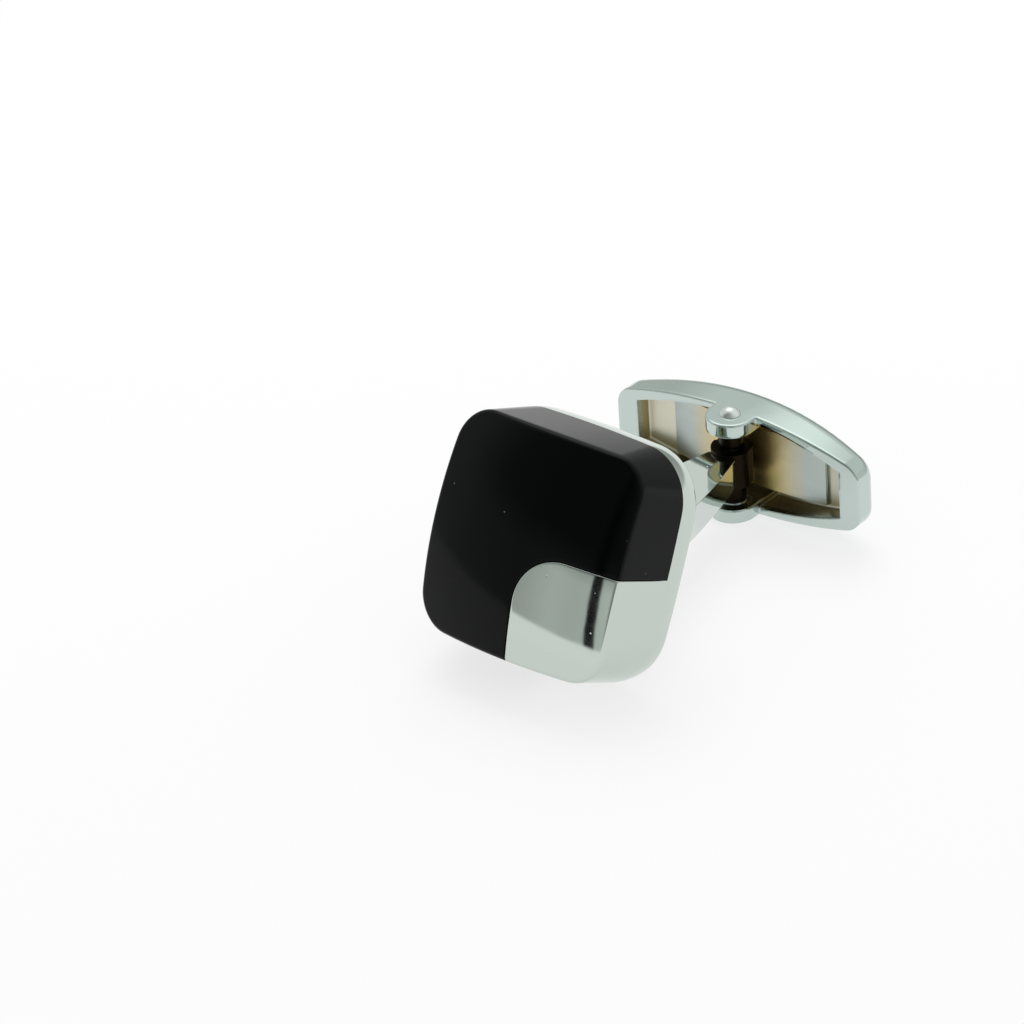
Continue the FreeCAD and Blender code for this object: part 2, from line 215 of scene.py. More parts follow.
def skin(columns):
    """Wall and rounded edge over the rim band, as rows from the rim's level up to the border of the dome.

    The wall follows the outline at each height. The edge is an arc of the edge radius whose centre lies that far
    inside both the wall and the dome, and whose normal swings evenly from the wall's to the dome's.
    """
    height = np.full(columns.shape[1], HEAD_DEPTH)
    for _ in range(TOP_ROUNDS):
        spot, way = outline(height, columns)
        height = dome_height(spot)
    change = outline(height + SLOPE_STEP, columns)[0] - outline(height - SLOPE_STEP, columns)[0]
    growth = (change * way).sum(axis=-1) / (2 * SLOPE_STEP)
    wall_normal = unit(with_height(way, -growth))
    dome_normal = with_height(spot, height - HEAD_DEPTH + DOME_RADIUS) / DOME_RADIUS
    cosine = (wall_normal * dome_normal).sum(axis=-1, keepdims=True)
    centre = with_height(spot, height) - EDGE_ROUND * (wall_normal + dome_normal) / (1 + cosine)
    swing = np.arccos(cosine)
    part = np.linspace(0, 1, ROUND_ROWS + 1)[:, None, None]
    normal = (np.sin((1 - part) * swing) * wall_normal + np.sin(part * swing) * dome_normal) / np.sin(swing)
    edge = centre + EDGE_ROUND * normal
    edge[-1, :, 2] = dome_height(edge[-1, :, :2])
    level = RIM_BAND + (edge[0, :, 2] - RIM_BAND) * np.linspace(0, 1, WALL_ROWS + 1)[:-1, None]
    wall = with_height(outline(level, columns)[0], level)
    return np.concatenate([wall, edge])


def coons(low, high, start, end):
    """Surface between four border curves: blends of opposite borders less the blend of the four corners.

    low and high run the same way, and start and end lead from low to high.
    """
    across = np.linspace(0, 1, len(low))[None, :, None]
    along = np.linspace(0, 1, len(start))[:, None, None]
    sides = (1 - along) * low[None] + along * high[None] + (1 - across) * start[:, None] + across * end[:, None]
    corners = ((1 - along) * ((1 - across) * low[0] + across * low[-1])
               + along * ((1 - across) * high[0] + across * high[-1]))
    return sides - corners


def corner_border(gap, lower_end, right_end, steps):
    """Border of the bright corner from its lower end, up, round the inner corner and out to its right end.

    gap moves the border off the bright corner. Straight runs and the arc each have a fixed share of the steps.
    """
    left = CORNER_LEFT - gap
    top = CORNER_TOP + gap
    radius = CORNER_INNER + gap
    straight = int(steps * STRAIGHT_SHARE)
    angle = np.linspace(2 * QUARTER, QUARTER, steps - 2 * straight + 1)[1:-1]
    run_up = np.linspace(lower_end, (left, top - radius), straight + 1)
    arc = np.stack([left + radius + radius * np.cos(angle), top - radius + radius * np.sin(angle)], axis=-1)
    run_out = np.linspace((left + radius, top), right_end, straight + 1)
    return np.concatenate([run_up, arc, run_out])


def border_ends(gap):
    """Angles at which the border crosses the lower and the right side."""
    lower = (math.asin((CORNER_LEFT - gap) / BOW_RADIUS), 0.0)
    right = (math.asin((CORNER_TOP + gap) / BOW_RADIUS), 0.0)
    return lower, right


def corner_stretches(gap):
    """The bright corner's own part of the outline, twice as finely divided as the rest."""
    lower, right = border_ends(gap)
    return [side(BOTTOM, lower, SIDE_HIGH, 2 * SIDE_STEPS),
            corner(BOTTOM, CORNER_IN, CORNER_MID, 2 * CORNER_STEPS),
            corner(BOTTOM, CORNER_MID, CORNER_OUT, 2 * CORNER_STEPS),
            side(RIGHT, SIDE_LOW, right, 2 * SIDE_STEPS)]


def inlay_stretches(gap):
    """The rest of the outline: the inlay's right end, its long outer side and its lower end."""
    lower, right = border_ends(gap)
    right_end = [side(RIGHT, right, SIDE_HIGH, SIDE_STEPS), corner(RIGHT, CORNER_IN, CORNER_MID, CORNER_STEPS)]
    outer = [corner(RIGHT, CORNER_MID, CORNER_OUT, CORNER_STEPS),
             side(TOP, SIDE_LOW, SIDE_HIGH, 2 * SIDE_STEPS),
             corner(TOP, CORNER_IN, CORNER_OUT, 2 * CORNER_STEPS),
             side(LEFT, SIDE_LOW, SIDE_HIGH, 2 * SIDE_STEPS),
             corner(LEFT, CORNER_IN, CORNER_MID, CORNER_STEPS)]
    lower_end = [corner(LEFT, CORNER_MID, CORNER_OUT, CORNER_STEPS), side(BOTTOM, SIDE_LOW, lower, SIDE_STEPS)]
    return right_end + outer + lower_end


def inlay_skin(gap):
    """L-shaped form over the rim band: its wall, its domed top and the edge along the bright corner."""
    wall = skin(columns_along(inlay_stretches(gap)))
    rim = wall[-1, :, :2]
    end_steps = SIDE_STEPS + CORNER_STEPS
    right_end = rim[:end_steps + 1]
    outer = rim[end_steps:-end_steps]
    lower_end = rim[-end_steps - 1:]
    border = corner_border(gap, rim[-1], rim[0], len(outer) - 1)
    top = coons(border, outer[::-1], lower_end[::-1], right_end)
    dome = with_height(top, dome_height(top))
    edge = np.concatenate([wall[:, -1], dome[0, 1:-1], wall[::-1, 0]])
    return wall, dome, edge


def corner_skin(gap):
    """Bright corner over the rim band: its wall, its domed top and the edge along the inlay."""
    wall = skin(columns_along(corner_stretches(gap)))
    rim = wall[-1, :, :2]
    steps = 2 * (SIDE_STEPS + CORNER_STEPS)
    border = corner_border(gap, rim[0], rim[-1], 2 * steps)
    top = coons(rim[:steps + 1], border[steps:], border[:steps + 1], rim[steps:])
    dome = with_height(top, dome_height(top))
    edge = np.concatenate([wall[:, 0], dome[1:, 0], dome[-1, 1:-1], wall[::-1, -1]])
    return wall, dome, edge


def flat_on_rim(points):
    """The points set down on the level of the rim band."""
    return with_height(points[..., :2], RIM_BAND)


def seam_round(inner, outer, radius):
    """Quarter round from an inner border line out to a parallel one: even steps sideways, sinking as a circle does.

    The surface's normal is the cross product of the way along the border and the way across it.
    """
    across = outer - inner
    normal = unit(np.cross(np.gradient(inner, axis=0), across))
    normal *= np.sign(normal[:, 2].sum())
    fade = np.clip((inner[:, 2:] - RIM_BAND) / SEAM_FADE, 0, 1)
    part = np.linspace(0, 1, SEAM_ROWS + 1)[:, None, None]
    return inner + across * part - radius * fade * normal * (1 - np.sqrt(1 - part ** 2))


def make_black_inlay(material):
    """Closed L: skin on top, its own copy set down on the rim's level, and a rounded edge and wall at the border."""
    wall, dome, edge = inlay_skin(BOND_GAP + RESIN_ROUND)
    border = inlay_skin(BOND_GAP)[2]
    seam = seam_round(edge, border, RESIN_ROUND)
    foot = flat_on_rim(np.linspace(edge, border, SEAM_ROWS + 1))
    border_wall = np.stack([seam[-1], foot[-1]])
    grids = [wall, dome, seam, border_wall, foot, flat_on_rim(wall), flat_on_rim(dome)]
    build_piece("black_inlay_form", grids, "head", ["black_inlay"], material)


def rim_inset(height):
    """How far the rim lies inside the straight wall: two parabolas, one over the band and one at the back edge."""
    band = np.clip(1 - height / RIM_BAND, 0, 1)
    edge = np.clip(1 - height / BACK_EASE, 0, 1)
    return RIM_CURVE * band ** 2 + BACK_EASE * edge ** 2


def make_head_tray(material):
    """Closed tray: back with the post's socket, curved rim band, ledge under the inlay and raised bright corner.

    The rim's rows lie closer together near the back edge, by the square of the row's part of the way. The back
    runs evenly from the socket's circle to the outline, each point in its own direction from the socket's centre.
    """
    corner_wall, corner_dome, edge = corner_skin(-PLATE_ROUND)
    ledge_wall, ledge_dome, border = inlay_skin(0.0)
    seam = seam_round(edge, corner_skin(0.0)[2], PLATE_ROUND)
    border_wall = np.stack([seam[-1], flat_on_rim(border)])
    lower, right = border_ends(0.0)
    lower_in, right_in = border_ends(-PLATE_ROUND)
    columns = columns_along([side(BOTTOM, lower, lower_in, SEAM_ROWS)] + corner_stretches(-PLATE_ROUND)
                            + [side(RIGHT, right_in, right, SEAM_ROWS)] + inlay_stretches(0.0))
    level = RIM_BAND * np.linspace(0, 1, RIM_ROWS + 1)[:, None] ** 2
    spot, way = outline(np.maximum(level, BACK_BEVEL), columns)
    band = with_height(spot - rim_inset(level)[..., None] * way, level)
    centre = np.array([0.0, -FOOT_DROP])
    mouth = centre + SOCKET_RADIUS * unit(band[0, :, :2] - centre)
    part = np.linspace(0, 1, CAP_ROWS + 1)[:, None, None]
    back = with_height(mouth + (band[0, :, :2] - mouth) * part, 0.0)
    socket_wall = np.stack([with_height(mouth, 0.0), with_height(mouth, SOCKET_DEPTH)])
    socket_floor = with_height(centre + (mouth - centre) * part, SOCKET_DEPTH)
    grids = [corner_wall, corner_dome, seam, border_wall, flat_on_rim(ledge_wall), flat_on_rim(ledge_dome),
             band, back, socket_wall, socket_floor]
    build_piece("head_tray_form", grids, "head", ["head_tray"], material)


# materials

# what shows on polished plating, in millimetres; pits are drawn a little larger than real ones, to show
HAZE_SIZE = 0.8
HAZE_DETAIL = 4.0
WAVE_SIZE = 1.7
WAVE_HEIGHT = 0.003
WAVE_DETAIL = 1.0
PIT_SPACING = 0.9
PIT_RADIUS = 0.06
PIT_DEPTH = 0.012
# what shows on polished resin; grains of dust are also drawn a little larger than real ones
SMEAR_SIZE = 1.6
SMEAR_DETAIL = 3.0
DUST_SPACING = 1.4
DUST_RADIUS = 0.06
DUST_CORE = 0.5
# rolling lines of the spring, how much they are drawn out along it, and its straw coloured middle
ROLL_LINE = 0.15
ROLL_DETAIL = 3.0
ROLL_STRETCH = (0.05, 1.0, 1.0)
STRAW_HALF = 4.5
STRAW_CORE = 0.4
# the toggle's bowl: half height, half length, and how walls and floor curve with the square of the way across
BOWL_HALF = 3.1
BOWL_LENGTH = 7.85
BOWL_LENS = 1.45 / 7.8 ** 2
BOWL_FLOOR = 1.2 / 9.3 ** 2
# depth of its floor behind the pivot, and the layer over the floor that isn't counted as wall
BOWL_BACK = 2.6
BOWL_FOOT = 0.3
# how far past walls and floor the bowl's colour is full and gone, and the width of its edge at the bowl's ends
BOWL_FULL = 0.1
BOWL_NONE = 0.2
BOWL_END = 0.04
# the bowl's colour begins behind the rim and grows over this depth
BOWL_RIM = 0.5
BOWL_GROWTH = 0.8
# the joint's inside, where shade is painted dark: radius about the pin, half height, and the widths of their soft
# edges
JOINT_RADIUS = 1.38
JOINT_HALF = 2.6
JOINT_EDGE = 0.05
JOINT_END = 0.1
# radius to which sharp edges of the post and pin and of the toggle look eased, and the samples that takes
CRISP_EDGE = 0.06
SOFT_EDGE = 0.3
EDGE_SAMPLES = 8

PLATE = "#c3cdc5"
# the post's plating, painted lighter than the head's same plating: a lit copy
POST_PLATE_LIT_COPY = "#d9e0db"
TOGGLE_PLATE = "#c0cdc8"
THIN_PLATE = "#cfcfc0"
# the rivet's steel, painted lighter: partly its own colour, partly a painted highlight
RIVET_STEEL_AND_HIGHLIGHT = "#e8eeea"
BRASS = "#c2b184"
# painted shade: the dark colour put in the joint between the ears
PAINTED_JOINT_SHADE = "#1c170e"
RESIN = "#020303"
DUST = "#6d7470"
STEEL = "#b6c0bc"
STRAW = "#d8bd78"

# roughness, from clear to hazy where two are given
PLATE_ROUGH = (0.02, 0.08)
RESIN_ROUGH = (0.06, 0.14)
STEEL_ROUGH = (0.25, 0.45)
RIVET_ROUGH = 0.3
THIN_ROUGH = 0.3
BRASS_ROUGH = 0.35
# roughness where the joint's shade is painted
PAINTED_JOINT_SHADE_ROUGH = 0.35
RESIN_IOR = 1.5
RESIN_GLEAM = 0.12


def linear(code):
    """sRGB hex colour as linear red, green, blue and full alpha."""
    values = np.array([int(code[place:place + 2], 16) for place in (1, 3, 5)]) / 255
    scaled = np.where(values <= 0.04045, values / 12.92, ((values + 0.055) / 1.055) ** 2.4)
    return (*scaled.tolist(), 1.0)


def add_node(tree, kind, settings=None, **inputs):
    """Adds a node. settings are its properties; inputs are values or output sockets for its input sockets.

    An input is named as its socket is, with _ for a space, or by its number: n0, n1 and so on.
    """
    node = tree.nodes.new(kind)
    for name, value in (settings or {}).items():
        setattr(node, name, value)
    for name, value in inputs.items():
        by_number = name[0] == "n" and name[1:].isdigit()
        socket = node.inputs[int(name[1:]) if by_number else name.replace("_", " ")]
        if isinstance(value, bpy.types.NodeSocket):
            tree.links.new(value, socket)
        else:
            socket.default_value = value
    return node


def new_material(name):
    """Material with an empty node tree."""
    material = bpy.data.materials.new(name)
    material.use_nodes = True
    material.node_tree.nodes.clear()
    return material, material.node_tree


def from_pivot(tree, place, *ways):
    """A point's distances from the pivot along some directions."""
    local = add_node(tree, "ShaderNodeVectorMath", {"operation": "SUBTRACT"}, n0=place, n1=tuple(pivot * MM))
    return [add_node(tree, "ShaderNodeVectorMath", {"operation": "DOT_PRODUCT"}, n0=local.outputs[0],
                     n1=tuple(way)).outputs["Value"] for way in ways]


def bowl_share(tree, place, back):
    """Share of the bowl's inside: within the lens outline and the ends, over the floor and rising behind the rim."""
    across, behind, along = from_pivot(tree, place, head_right, post_way, pin_way)
    squared = add_node(tree, "ShaderNodeMath", {"operation": "MULTIPLY"}, n0=across, n1=across).outputs[0]
    height = add_node(tree, "ShaderNodeMath", {"operation": "ABSOLUTE"}, n0=along).outputs[0]
    spread = add_node(tree, "ShaderNodeMath", {"operation": "MULTIPLY_ADD"}, n0=squared, n1=BOWL_LENS / MM,
                      n2=height).outputs[0]
    depth = add_node(tree, "ShaderNodeMath", {"operation": "MULTIPLY_ADD"}, n0=squared, n1=BOWL_FLOOR / MM,
                     n2=behind).outputs[0]
    limits = [(spread, (BOWL_HALF + BOWL_NONE) * MM, (BOWL_HALF + BOWL_FULL) * MM),
              (depth, (back + BOWL_NONE) * MM, (back + BOWL_FULL) * MM),
              (squared, (BOWL_LENGTH * MM) ** 2, ((BOWL_LENGTH - BOWL_END) * MM) ** 2),
              (behind, BOWL_RIM * MM, (BOWL_RIM + BOWL_GROWTH) * MM)]
    parts = [add_node(tree, "ShaderNodeMapRange", n0=value, n1=none, n2=full).outputs[0]
             for value, none, full in limits]
    share = parts[0]
    for part in parts[1:]:
        share = add_node(tree, "ShaderNodeMath", {"operation": "MULTIPLY"}, n0=part, n1=share).outputs[0]
    return share


def in_bowl(tree, place):
    """Share of the bowl with its floor."""
    return bowl_share(tree, place, BOWL_BACK)


def on_bowl_walls(tree, place):
    """Share of the bowl's walls: its inside less a layer over the floor."""
    return bowl_share(tree, place, BOWL_BACK - BOWL_FOOT)


def painted_joint_shade_share(tree, place):
    """Share of the joint's inside, where shade is painted dark: near the pin and between the ears."""
    across, behind, along = from_pivot(tree, place, head_right, post_way, pin_way)
    squared = add_node(tree, "ShaderNodeMath", {"operation": "MULTIPLY"}, n0=across, n1=across).outputs[0]
    reach = add_node(tree, "ShaderNodeMath", {"operation": "MULTIPLY_ADD"}, n0=behind, n1=behind,
                     n2=squared).outputs[0]
    height = add_node(tree, "ShaderNodeMath", {"operation": "ABSOLUTE"}, n0=along).outputs[0]
    near = add_node(tree, "ShaderNodeMapRange", n0=reach, n1=(JOINT_RADIUS * MM) ** 2,
                    n2=((JOINT_RADIUS - JOINT_EDGE) * MM) ** 2).outputs[0]
    between = add_node(tree, "ShaderNodeMapRange", n0=height, n1=JOINT_HALF * MM,
                       n2=(JOINT_HALF - JOINT_END) * MM).outputs[0]
    return add_node(tree, "ShaderNodeMath", {"operation": "MULTIPLY"}, n0=near, n1=between).outputs[0]


def on_rivet(tree, place):
    """Share of the rivet heads: both ends of the pin."""
    along = from_pivot(tree, place, pin_way)[0]
    height = add_node(tree, "ShaderNodeMath", {"operation": "ABSOLUTE"}, n0=along).outputs[0]
    return add_node(tree, "ShaderNodeMapRange", n0=height, n1=JOINT_HALF * MM,
                    n2=(JOINT_HALF + JOINT_END) * MM).outputs[0]


def plated_metal(name, code, edge=0.0, zones=()):
    """Mirror plating over a polished casting, with the faint waves and small pits that polishing leaves.

    edge rounds the normals of sharp edges. Each zone gives a share, a roughness of its own and, where it has one,
    a colour.
    """
    material, tree = new_material(name)
    place = add_node(tree, "ShaderNodeTexCoord").outputs["Object"]
    haze = add_node(tree, "ShaderNodeTexNoise", Vector=place, Scale=1 / (HAZE_SIZE * MM), Detail=HAZE_DETAIL)
    clear, hazy = PLATE_ROUGH
    rough = add_node(tree, "ShaderNodeMapRange", n0=haze.outputs["Fac"], n3=clear, n4=hazy).outputs[0]
    waves = add_node(tree, "ShaderNodeTexNoise", Vector=place, Scale=1 / (WAVE_SIZE * MM), Detail=WAVE_DETAIL)
    cells = add_node(tree, "ShaderNodeTexVoronoi", Vector=place, Scale=1 / (PIT_SPACING * MM))
    pit = add_node(tree, "ShaderNodeMapRange", n0=cells.outputs["Distance"], n1=PIT_RADIUS / PIT_SPACING, n2=0.0,
                   n3=0.0, n4=-PIT_DEPTH / WAVE_HEIGHT)
    height = add_node(tree, "ShaderNodeMath", {"operation": "ADD"}, n0=waves.outputs["Fac"], n1=pit.outputs[0])
    bump = add_node(tree, "ShaderNodeBump", Strength=1.0, Distance=WAVE_HEIGHT * MM, Height=height.outputs[0])
    if edge:
        soft = add_node(tree, "ShaderNodeBevel", {"samples": EDGE_SAMPLES}, Radius=edge * MM)
        tree.links.new(soft.outputs[0], bump.inputs["Normal"])
    colour = linear(code)
    for share_of, zone_rough, zone_code in zones:
        share = share_of(tree, place)
        rough = add_node(tree, "ShaderNodeMix", {"data_type": "FLOAT"}, n0=share, n2=rough, n3=zone_rough).outputs[0]
        if zone_code:
            colour = add_node(tree, "ShaderNodeMix", {"data_type": "RGBA"}, n0=share, n6=colour,
                              n7=linear(zone_code)).outputs[2]
    shader = add_node(tree, "ShaderNodeBsdfPrincipled", Base_Color=colour, Metallic=1.0, Roughness=rough,
                      Normal=bump.outputs[0])
    add_node(tree, "ShaderNodeOutputMaterial", Surface=shader.outputs[0])
    return material


def black_resin():
    """Poured black resin, polished: deep black under a wet gloss, with a few grains of dust."""
    material, tree = new_material("polished_black_resin")
    place = add_node(tree, "ShaderNodeTexCoord").outputs["Object"]
    smear = add_node(tree, "ShaderNodeTexNoise", Vector=place, Scale=1 / (SMEAR_SIZE * MM), Detail=SMEAR_DETAIL)
    clear, hazy = RESIN_ROUGH
    rough = add_node(tree, "ShaderNodeMapRange", n0=smear.outputs["Fac"], n3=clear, n4=hazy)
    cells = add_node(tree, "ShaderNodeTexVoronoi", Vector=place, Scale=1 / (DUST_SPACING * MM))
    grain = add_node(tree, "ShaderNodeMapRange", n0=cells.outputs["Distance"], n1=DUST_RADIUS / DUST_SPACING,
                     n2=DUST_CORE * DUST_RADIUS / DUST_SPACING)
    colour = add_node(tree, "ShaderNodeMix", {"data_type": "RGBA"}, n0=grain.outputs[0], n6=linear(RESIN),
                      n7=linear(DUST))
    shader = add_node(tree, "ShaderNodeBsdfPrincipled", Base_Color=colour.outputs[2], Roughness=rough.outputs[0],
                      IOR=RESIN_IOR, Specular_IOR_Level=RESIN_GLEAM)
    add_node(tree, "ShaderNodeOutputMaterial", Surface=shader.outputs[0])
    return material


def spring_steel():
    """Rolled spring steel strip: satin, with rolling lines along it and a straw temper colour in its middle."""
    material, tree = new_material("tempered_spring_steel")
    place = add_node(tree, "ShaderNodeTexCoord").outputs["Object"]
    drawn = add_node(tree, "ShaderNodeMapping", Vector=place, Scale=ROLL_STRETCH)
    lines = add_node(tree, "ShaderNodeTexNoise", Vector=drawn.outputs[0], Scale=1 / (ROLL_LINE * MM),
                     Detail=ROLL_DETAIL)
    clear, hazy = STEEL_ROUGH
    rough = add_node(tree, "ShaderNodeMapRange", n0=lines.outputs["Fac"], n3=clear, n4=hazy)
    across = add_node(tree, "ShaderNodeSeparateXYZ", Vector=place).outputs["X"]
    out = add_node(tree, "ShaderNodeMath", {"operation": "ABSOLUTE"}, n0=across)
    straw = add_node(tree, "ShaderNodeMapRange", n0=out.outputs[0], n1=STRAW_HALF * MM,
                     n2=STRAW_CORE * STRAW_HALF * MM)
    colour = add_node(tree, "ShaderNodeMix", {"data_type": "RGBA"}, n0=straw.outputs[0], n6=linear(STEEL),
                      n7=linear(STRAW))
    shader = add_node(tree, "ShaderNodeBsdfPrincipled", Base_Color=colour.outputs[2], Metallic=1.0,
                      Roughness=rough.outputs[0])
    add_node(tree, "ShaderNodeOutputMaterial", Surface=shader.outputs[0])
    return material


# the head's plating is a cool, slightly green mirror
make_head_tray(plated_metal("rhodium_plate_polished", PLATE))
make_black_inlay(black_resin())
# the post's plating is painted lighter than the head's, a lit copy of the same plating, and its knuckle has painted
# shade, dark where the pin turns
post_zones = [(painted_joint_shade_share, PAINTED_JOINT_SHADE_ROUGH, PAINTED_JOINT_SHADE)]
post_plate = plated_metal("rhodium_plate_lit_copy", POST_PLATE_LIT_COPY, CRISP_EDGE, post_zones)
# the rivet's steel is painted lighter all over, partly a painted highlight; its hammered heads are satin, its shank
# is smooth
pin_plate = plated_metal("rivet_steel_brushed_painted_highlight", RIVET_STEEL_AND_HIGHLIGHT, CRISP_EDGE, [(on_rivet, RIVET_ROUGH, None)])
# the toggle's plating is thin and dull in the bowl, with bare brass on its walls and painted shade, dark, at the
# joint
toggle_zones = [(in_bowl, THIN_ROUGH, THIN_PLATE), (on_bowl_walls, BRASS_ROUGH, BRASS),
                (painted_joint_shade_share, PAINTED_JOINT_SHADE_ROUGH, PAINTED_JOINT_SHADE)]
toggle_plate = plated_metal("nickel_plate_on_brass", TOGGLE_PLATE, SOFT_EDGE, toggle_zones)
finishes = {"post": post_plate, "toggle_bar": toggle_plate, "pivot_pin": pin_plate, "leaf_spring": spring_steel()}
for name, material in finishes.items():
    frame["nodes"][name].material_slots[0].material = material


# stage, with lengths in millimetres

# light levels, where 1 is white
WHITE = (1.0, 1.0, 1.0, 1.0)
PLAIN_LIGHT = 0.7
# the table's size and its own grey
FLOOR_RADIUS = 100.0
FLOOR_STEPS = 96
TABLE_GREY = (0.96, 0.96, 0.96, 1.0)
# share of plain white over the table in what is seen, and the part of its radius from which that grows
TABLE_CLEAR = 0.72
TABLE_FADE = 0.35
# sines of the angles between which the table's far edge lies, in front of the object and behind it
TABLE_FRONT = (-0.006, 0.006)
TABLE_BEHIND = (-0.11, -0.05)
# a direction's own y at which front begins to turn to behind, and at which it has
BEHIND_FROM = 0.2
BEHIND_FULL = 0.5
# the room round the table: azimuth in degrees, light at the table's level, light higher up
ROOM = [(-180, 0.66, 0.25), (-165, 0.50, 0.30), (-139, 0.25, 0.30), (-110, 0.50, 0.50), (-60, 0.80, 0.80),
        (-20, 0.60, 0.78), (10, 0.40, 0.78), (32, 0.40, 0.78), (45, 0.60, 0.78), (90, 0.65, 0.65),
        (118, 0.65, 0.65), (132, 0.52, 0.25), (147, 0.44, 0.20), (158, 0.60, 0.20), (165, 0.56, 0.20),
        (172, 0.64, 0.25), (180, 0.66, 0.25)]
ROOM_TINT = (0.965, 1.0, 0.975, 1.0)
# sines of the angles between which the room turns from its lower to its higher light
ROOM_LOW = 0.24
ROOM_HIGH = 0.38
# the soft light overhead: its level, and its place and reach in degrees
SOFTBOX = 0.95
SOFTBOX_PLACE = (43, 52)
SOFTBOX_FULL = 12
SOFTBOX_END = 24
# a narrow dark stand in front of the object, seen upright in the bright corner, in degrees
STAND_AZIMUTH = 169.8
STAND_HALF = 1.2
STAND_END = 1.6
STAND_LEVEL = 0.02
# the lamp that gives the shadow on the table, with its power in watts
LAMP_PLACE = np.array([-80.0, 120.0, 260.0])
LAMP_AIM = np.array([0.0, 0.0, 5.0])
LAMP_SIZE = 200.0
LAMP_POWER = 0.35
# camera at the photograph's angle, turned about its view line as the photograph is
VIEW_AZIMUTH = math.radians(42.713)
VIEW_ELEVATION = math.radians(34.074)
VIEW_ROLL = math.radians(-6.677)
VIEW_AIM = np.array([-7.493, -2.512, 4.786])
VIEW_DISTANCE = 348.91
LENS = 201.32
SENSOR = 36.0
NEAREST = 10.0


def way_of(azimuth, elevation):
    """Unit vector of a direction: azimuth 0 is +Y and 90 is -X, both angles in degrees."""
    turn, rise = math.radians(azimuth), math.radians(elevation)
    return (-math.sin(turn) * math.cos(rise), math.cos(turn) * math.cos(rise), math.sin(rise))


def seen_rays(tree):
    """1 for all that the camera sees: straight, in a mirror or through glass."""
    path = add_node(tree, "ShaderNodeLightPath").outputs
    mirror = add_node(tree, "ShaderNodeMath", {"operation": "ADD"}, n0=path["Is Camera Ray"],
                      n1=path["Is Glossy Ray"])
    return add_node(tree, "ShaderNodeMath", {"operation": "ADD", "use_clamp": True}, n0=mirror.outputs[0],
                    n1=path["Is Transmission Ray"]).outputs[0]


def make_floor():
    """White table: a disc a little larger than the view. Part of its white is plain, and all of it at the rim."""
    angle = np.linspace(0, 4 * QUARTER, FLOOR_STEPS + 1)[:-1]
    rim = np.stack([np.cos(angle), np.sin(angle), np.zeros_like(angle)], axis=-1) * FLOOR_RADIUS * MM
    mesh = bpy.data.meshes.new("table_top")
    mesh.from_pydata(rim.tolist(), [], [list(range(len(rim)))])
    floor = bpy.data.objects.new("table_top", mesh)
    bpy.context.scene.collection.objects.link(floor)
    material, tree = new_material("white_table")
    place = add_node(tree, "ShaderNodeTexCoord").outputs["Object"]
    reach = add_node(tree, "ShaderNodeVectorMath", {"operation": "LENGTH"}, n0=place).outputs["Value"]
    clear = add_node(tree, "ShaderNodeMapRange", {"interpolation_type": "SMOOTHSTEP"}, n0=reach,
                     n1=TABLE_FADE * FLOOR_RADIUS * MM, n2=FLOOR_RADIUS * MM, n3=TABLE_CLEAR, n4=1.0).outputs[0]
    share = add_node(tree, "ShaderNodeMath", {"operation": "MULTIPLY"}, n0=seen_rays(tree), n1=clear)
    matt = add_node(tree, "ShaderNodeBsdfDiffuse", Color=TABLE_GREY)
    white = add_node(tree, "ShaderNodeEmission", Color=WHITE, Strength=1.0)
    both = add_node(tree, "ShaderNodeMixShader", n0=share.outputs[0], n1=matt.outputs[0], n2=white.outputs[0])
    add_node(tree, "ShaderNodeOutputMaterial", Surface=both.outputs[0])
    mesh.materials.append(material)


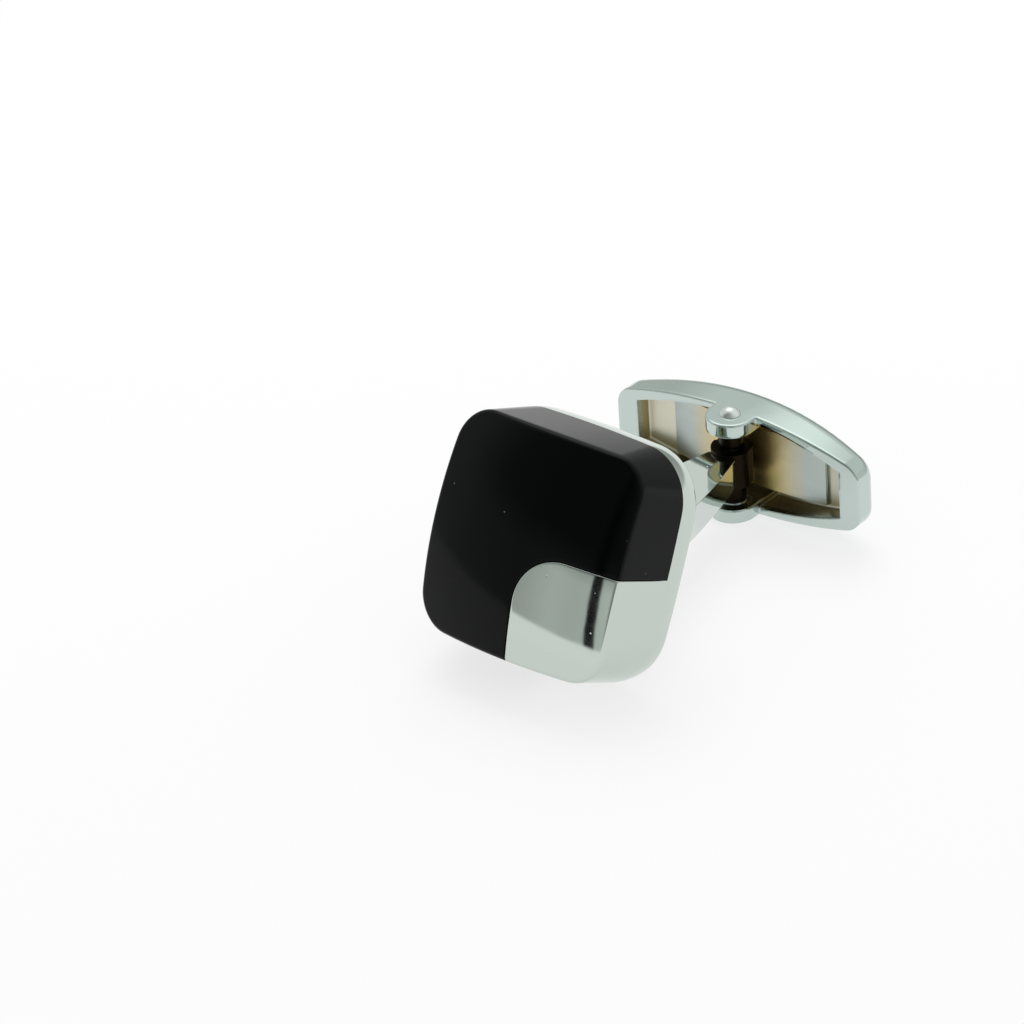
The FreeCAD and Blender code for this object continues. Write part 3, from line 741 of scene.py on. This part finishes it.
def make_world():
    """Plain light for matt surfaces; what is seen is a white table, a grey room above it and a soft light overhead.

    The room's light goes by azimuth and rises from its lower to its higher level; the soft light is added to it, the
    stand cuts it, and the table covers what lies below.
    """
    world = bpy.data.worlds.new("studio")
    world.use_nodes = True
    tree = world.node_tree
    tree.nodes.clear()
    way = add_node(tree, "ShaderNodeTexCoord").outputs["Generated"]
    parts = add_node(tree, "ShaderNodeSeparateXYZ", Vector=way).outputs
    turned = add_node(tree, "ShaderNodeMath", {"operation": "MULTIPLY"}, n0=parts["X"], n1=-1.0).outputs[0]
    azimuth = add_node(tree, "ShaderNodeMath", {"operation": "ARCTAN2"}, n0=turned, n1=parts["Y"]).outputs[0]
    round_room = add_node(tree, "ShaderNodeMapRange", n0=azimuth, n1=-math.pi, n2=math.pi).outputs[0]
    # the ramp's red is the light at the table's level and its green the light higher up
    ramp = add_node(tree, "ShaderNodeValToRGB", Fac=round_room)
    stops = ramp.color_ramp.elements
    for row in ROOM[1:-1]:
        stops.new((row[0] + 180) / 360)
    for stop, (_, low, high) in zip(stops, ROOM):
        stop.color = (low, high, 0.0, 1.0)
    levels = add_node(tree, "ShaderNodeSeparateColor", Color=ramp.outputs["Color"]).outputs
    upward = add_node(tree, "ShaderNodeMapRange", n0=parts["Z"], n1=ROOM_LOW, n2=ROOM_HIGH).outputs[0]
    room = add_node(tree, "ShaderNodeMix", {"data_type": "FLOAT"}, n0=upward, n2=levels[0], n3=levels[1])
    facing = add_node(tree, "ShaderNodeVectorMath", {"operation": "DOT_PRODUCT"}, n0=way,
                      n1=way_of(*SOFTBOX_PLACE))
    softbox = add_node(tree, "ShaderNodeMapRange", {"interpolation_type": "SMOOTHSTEP"},
                       n0=facing.outputs["Value"], n1=math.cos(math.radians(SOFTBOX_END)),
                       n2=math.cos(math.radians(SOFTBOX_FULL)), n3=0.0, n4=SOFTBOX)
    lit_room = add_node(tree, "ShaderNodeMath", {"operation": "ADD"}, n0=room.outputs[0], n1=softbox.outputs[0])
    off_stand = add_node(tree, "ShaderNodeMath", {"operation": "SUBTRACT"}, n0=azimuth,
                         n1=math.radians(STAND_AZIMUTH))
    beside = add_node(tree, "ShaderNodeMath", {"operation": "ABSOLUTE"}, n0=off_stand.outputs[0])
    stand = add_node(tree, "ShaderNodeMapRange", n0=beside.outputs[0], n1=math.radians(STAND_HALF),
                     n2=math.radians(STAND_END), n3=STAND_LEVEL, n4=1.0)
    cut_room = add_node(tree, "ShaderNodeMath", {"operation": "MULTIPLY"}, n0=lit_room.outputs[0],
                        n1=stand.outputs[0])
    # the table ends at the true horizon in front, and a little below it, softly, behind
    edges = [add_node(tree, "ShaderNodeMapRange", n0=parts["Y"], n1=BEHIND_FROM, n2=BEHIND_FULL, n3=front,
                      n4=behind).outputs[0] for front, behind in zip(TABLE_FRONT, TABLE_BEHIND)]
    table = add_node(tree, "ShaderNodeMapRange", n0=parts["Z"], n1=edges[0], n2=edges[1], n3=1.0, n4=0.0).outputs[0]
    level = add_node(tree, "ShaderNodeMix", {"data_type": "FLOAT"}, n0=table, n2=cut_room.outputs[0], n3=1.0)
    tint = add_node(tree, "ShaderNodeMix", {"data_type": "RGBA"}, n0=table, n6=ROOM_TINT, n7=WHITE)
    studio = add_node(tree, "ShaderNodeBackground", Color=tint.outputs[2], Strength=level.outputs[0])
    plain = add_node(tree, "ShaderNodeBackground", Color=WHITE, Strength=PLAIN_LIGHT)
    both = add_node(tree, "ShaderNodeMixShader", n0=seen_rays(tree), n1=plain.outputs[0], n2=studio.outputs[0])
    add_node(tree, "ShaderNodeOutputWorld", Surface=both.outputs[0])
    bpy.context.scene.world = world


def make_lamp():
    """Square soft lamp above the table, aimed at the object and not mirrored in it."""
    lamp = bpy.data.lights.new("overhead_softbox", "AREA")
    lamp.size = LAMP_SIZE * MM
    lamp.energy = LAMP_POWER
    item = bpy.data.objects.new("overhead_softbox", lamp)
    bpy.context.scene.collection.objects.link(item)
    item.location = LAMP_PLACE * MM
    item.visible_glossy = False
    item.rotation_euler = Vector((LAMP_AIM - LAMP_PLACE) * MM).to_track_quat("-Z", "Y").to_euler()


def make_camera():
    """Camera on the line through the aim point, turned by azimuth, elevation and roll."""
    view = np.array([-math.sin(VIEW_AZIMUTH) * math.cos(VIEW_ELEVATION),
                     math.cos(VIEW_AZIMUTH) * math.cos(VIEW_ELEVATION), -math.sin(VIEW_ELEVATION)])
    level = np.array([math.cos(VIEW_AZIMUTH), math.sin(VIEW_AZIMUTH), 0.0])
    right = math.cos(VIEW_ROLL) * level + math.sin(VIEW_ROLL) * np.cross(level, view)
    up = np.cross(right, view)
    place = (VIEW_AIM - VIEW_DISTANCE * view) * MM
    lens = bpy.data.cameras.new("photo_view")
    lens.lens = LENS
    lens.sensor_width = SENSOR
    lens.clip_start = NEAREST * MM
    camera = bpy.data.objects.new("photo_view", lens)
    bpy.context.scene.collection.objects.link(camera)
    rows = np.column_stack([right, up, -view, place]).tolist()
    camera.matrix_world = Matrix(rows + [[0, 0, 0, 1]])
    bpy.context.scene.camera = camera


make_floor()
make_world()
make_lamp()
make_camera()
bpy.context.scene.view_settings.view_transform = "Standard"
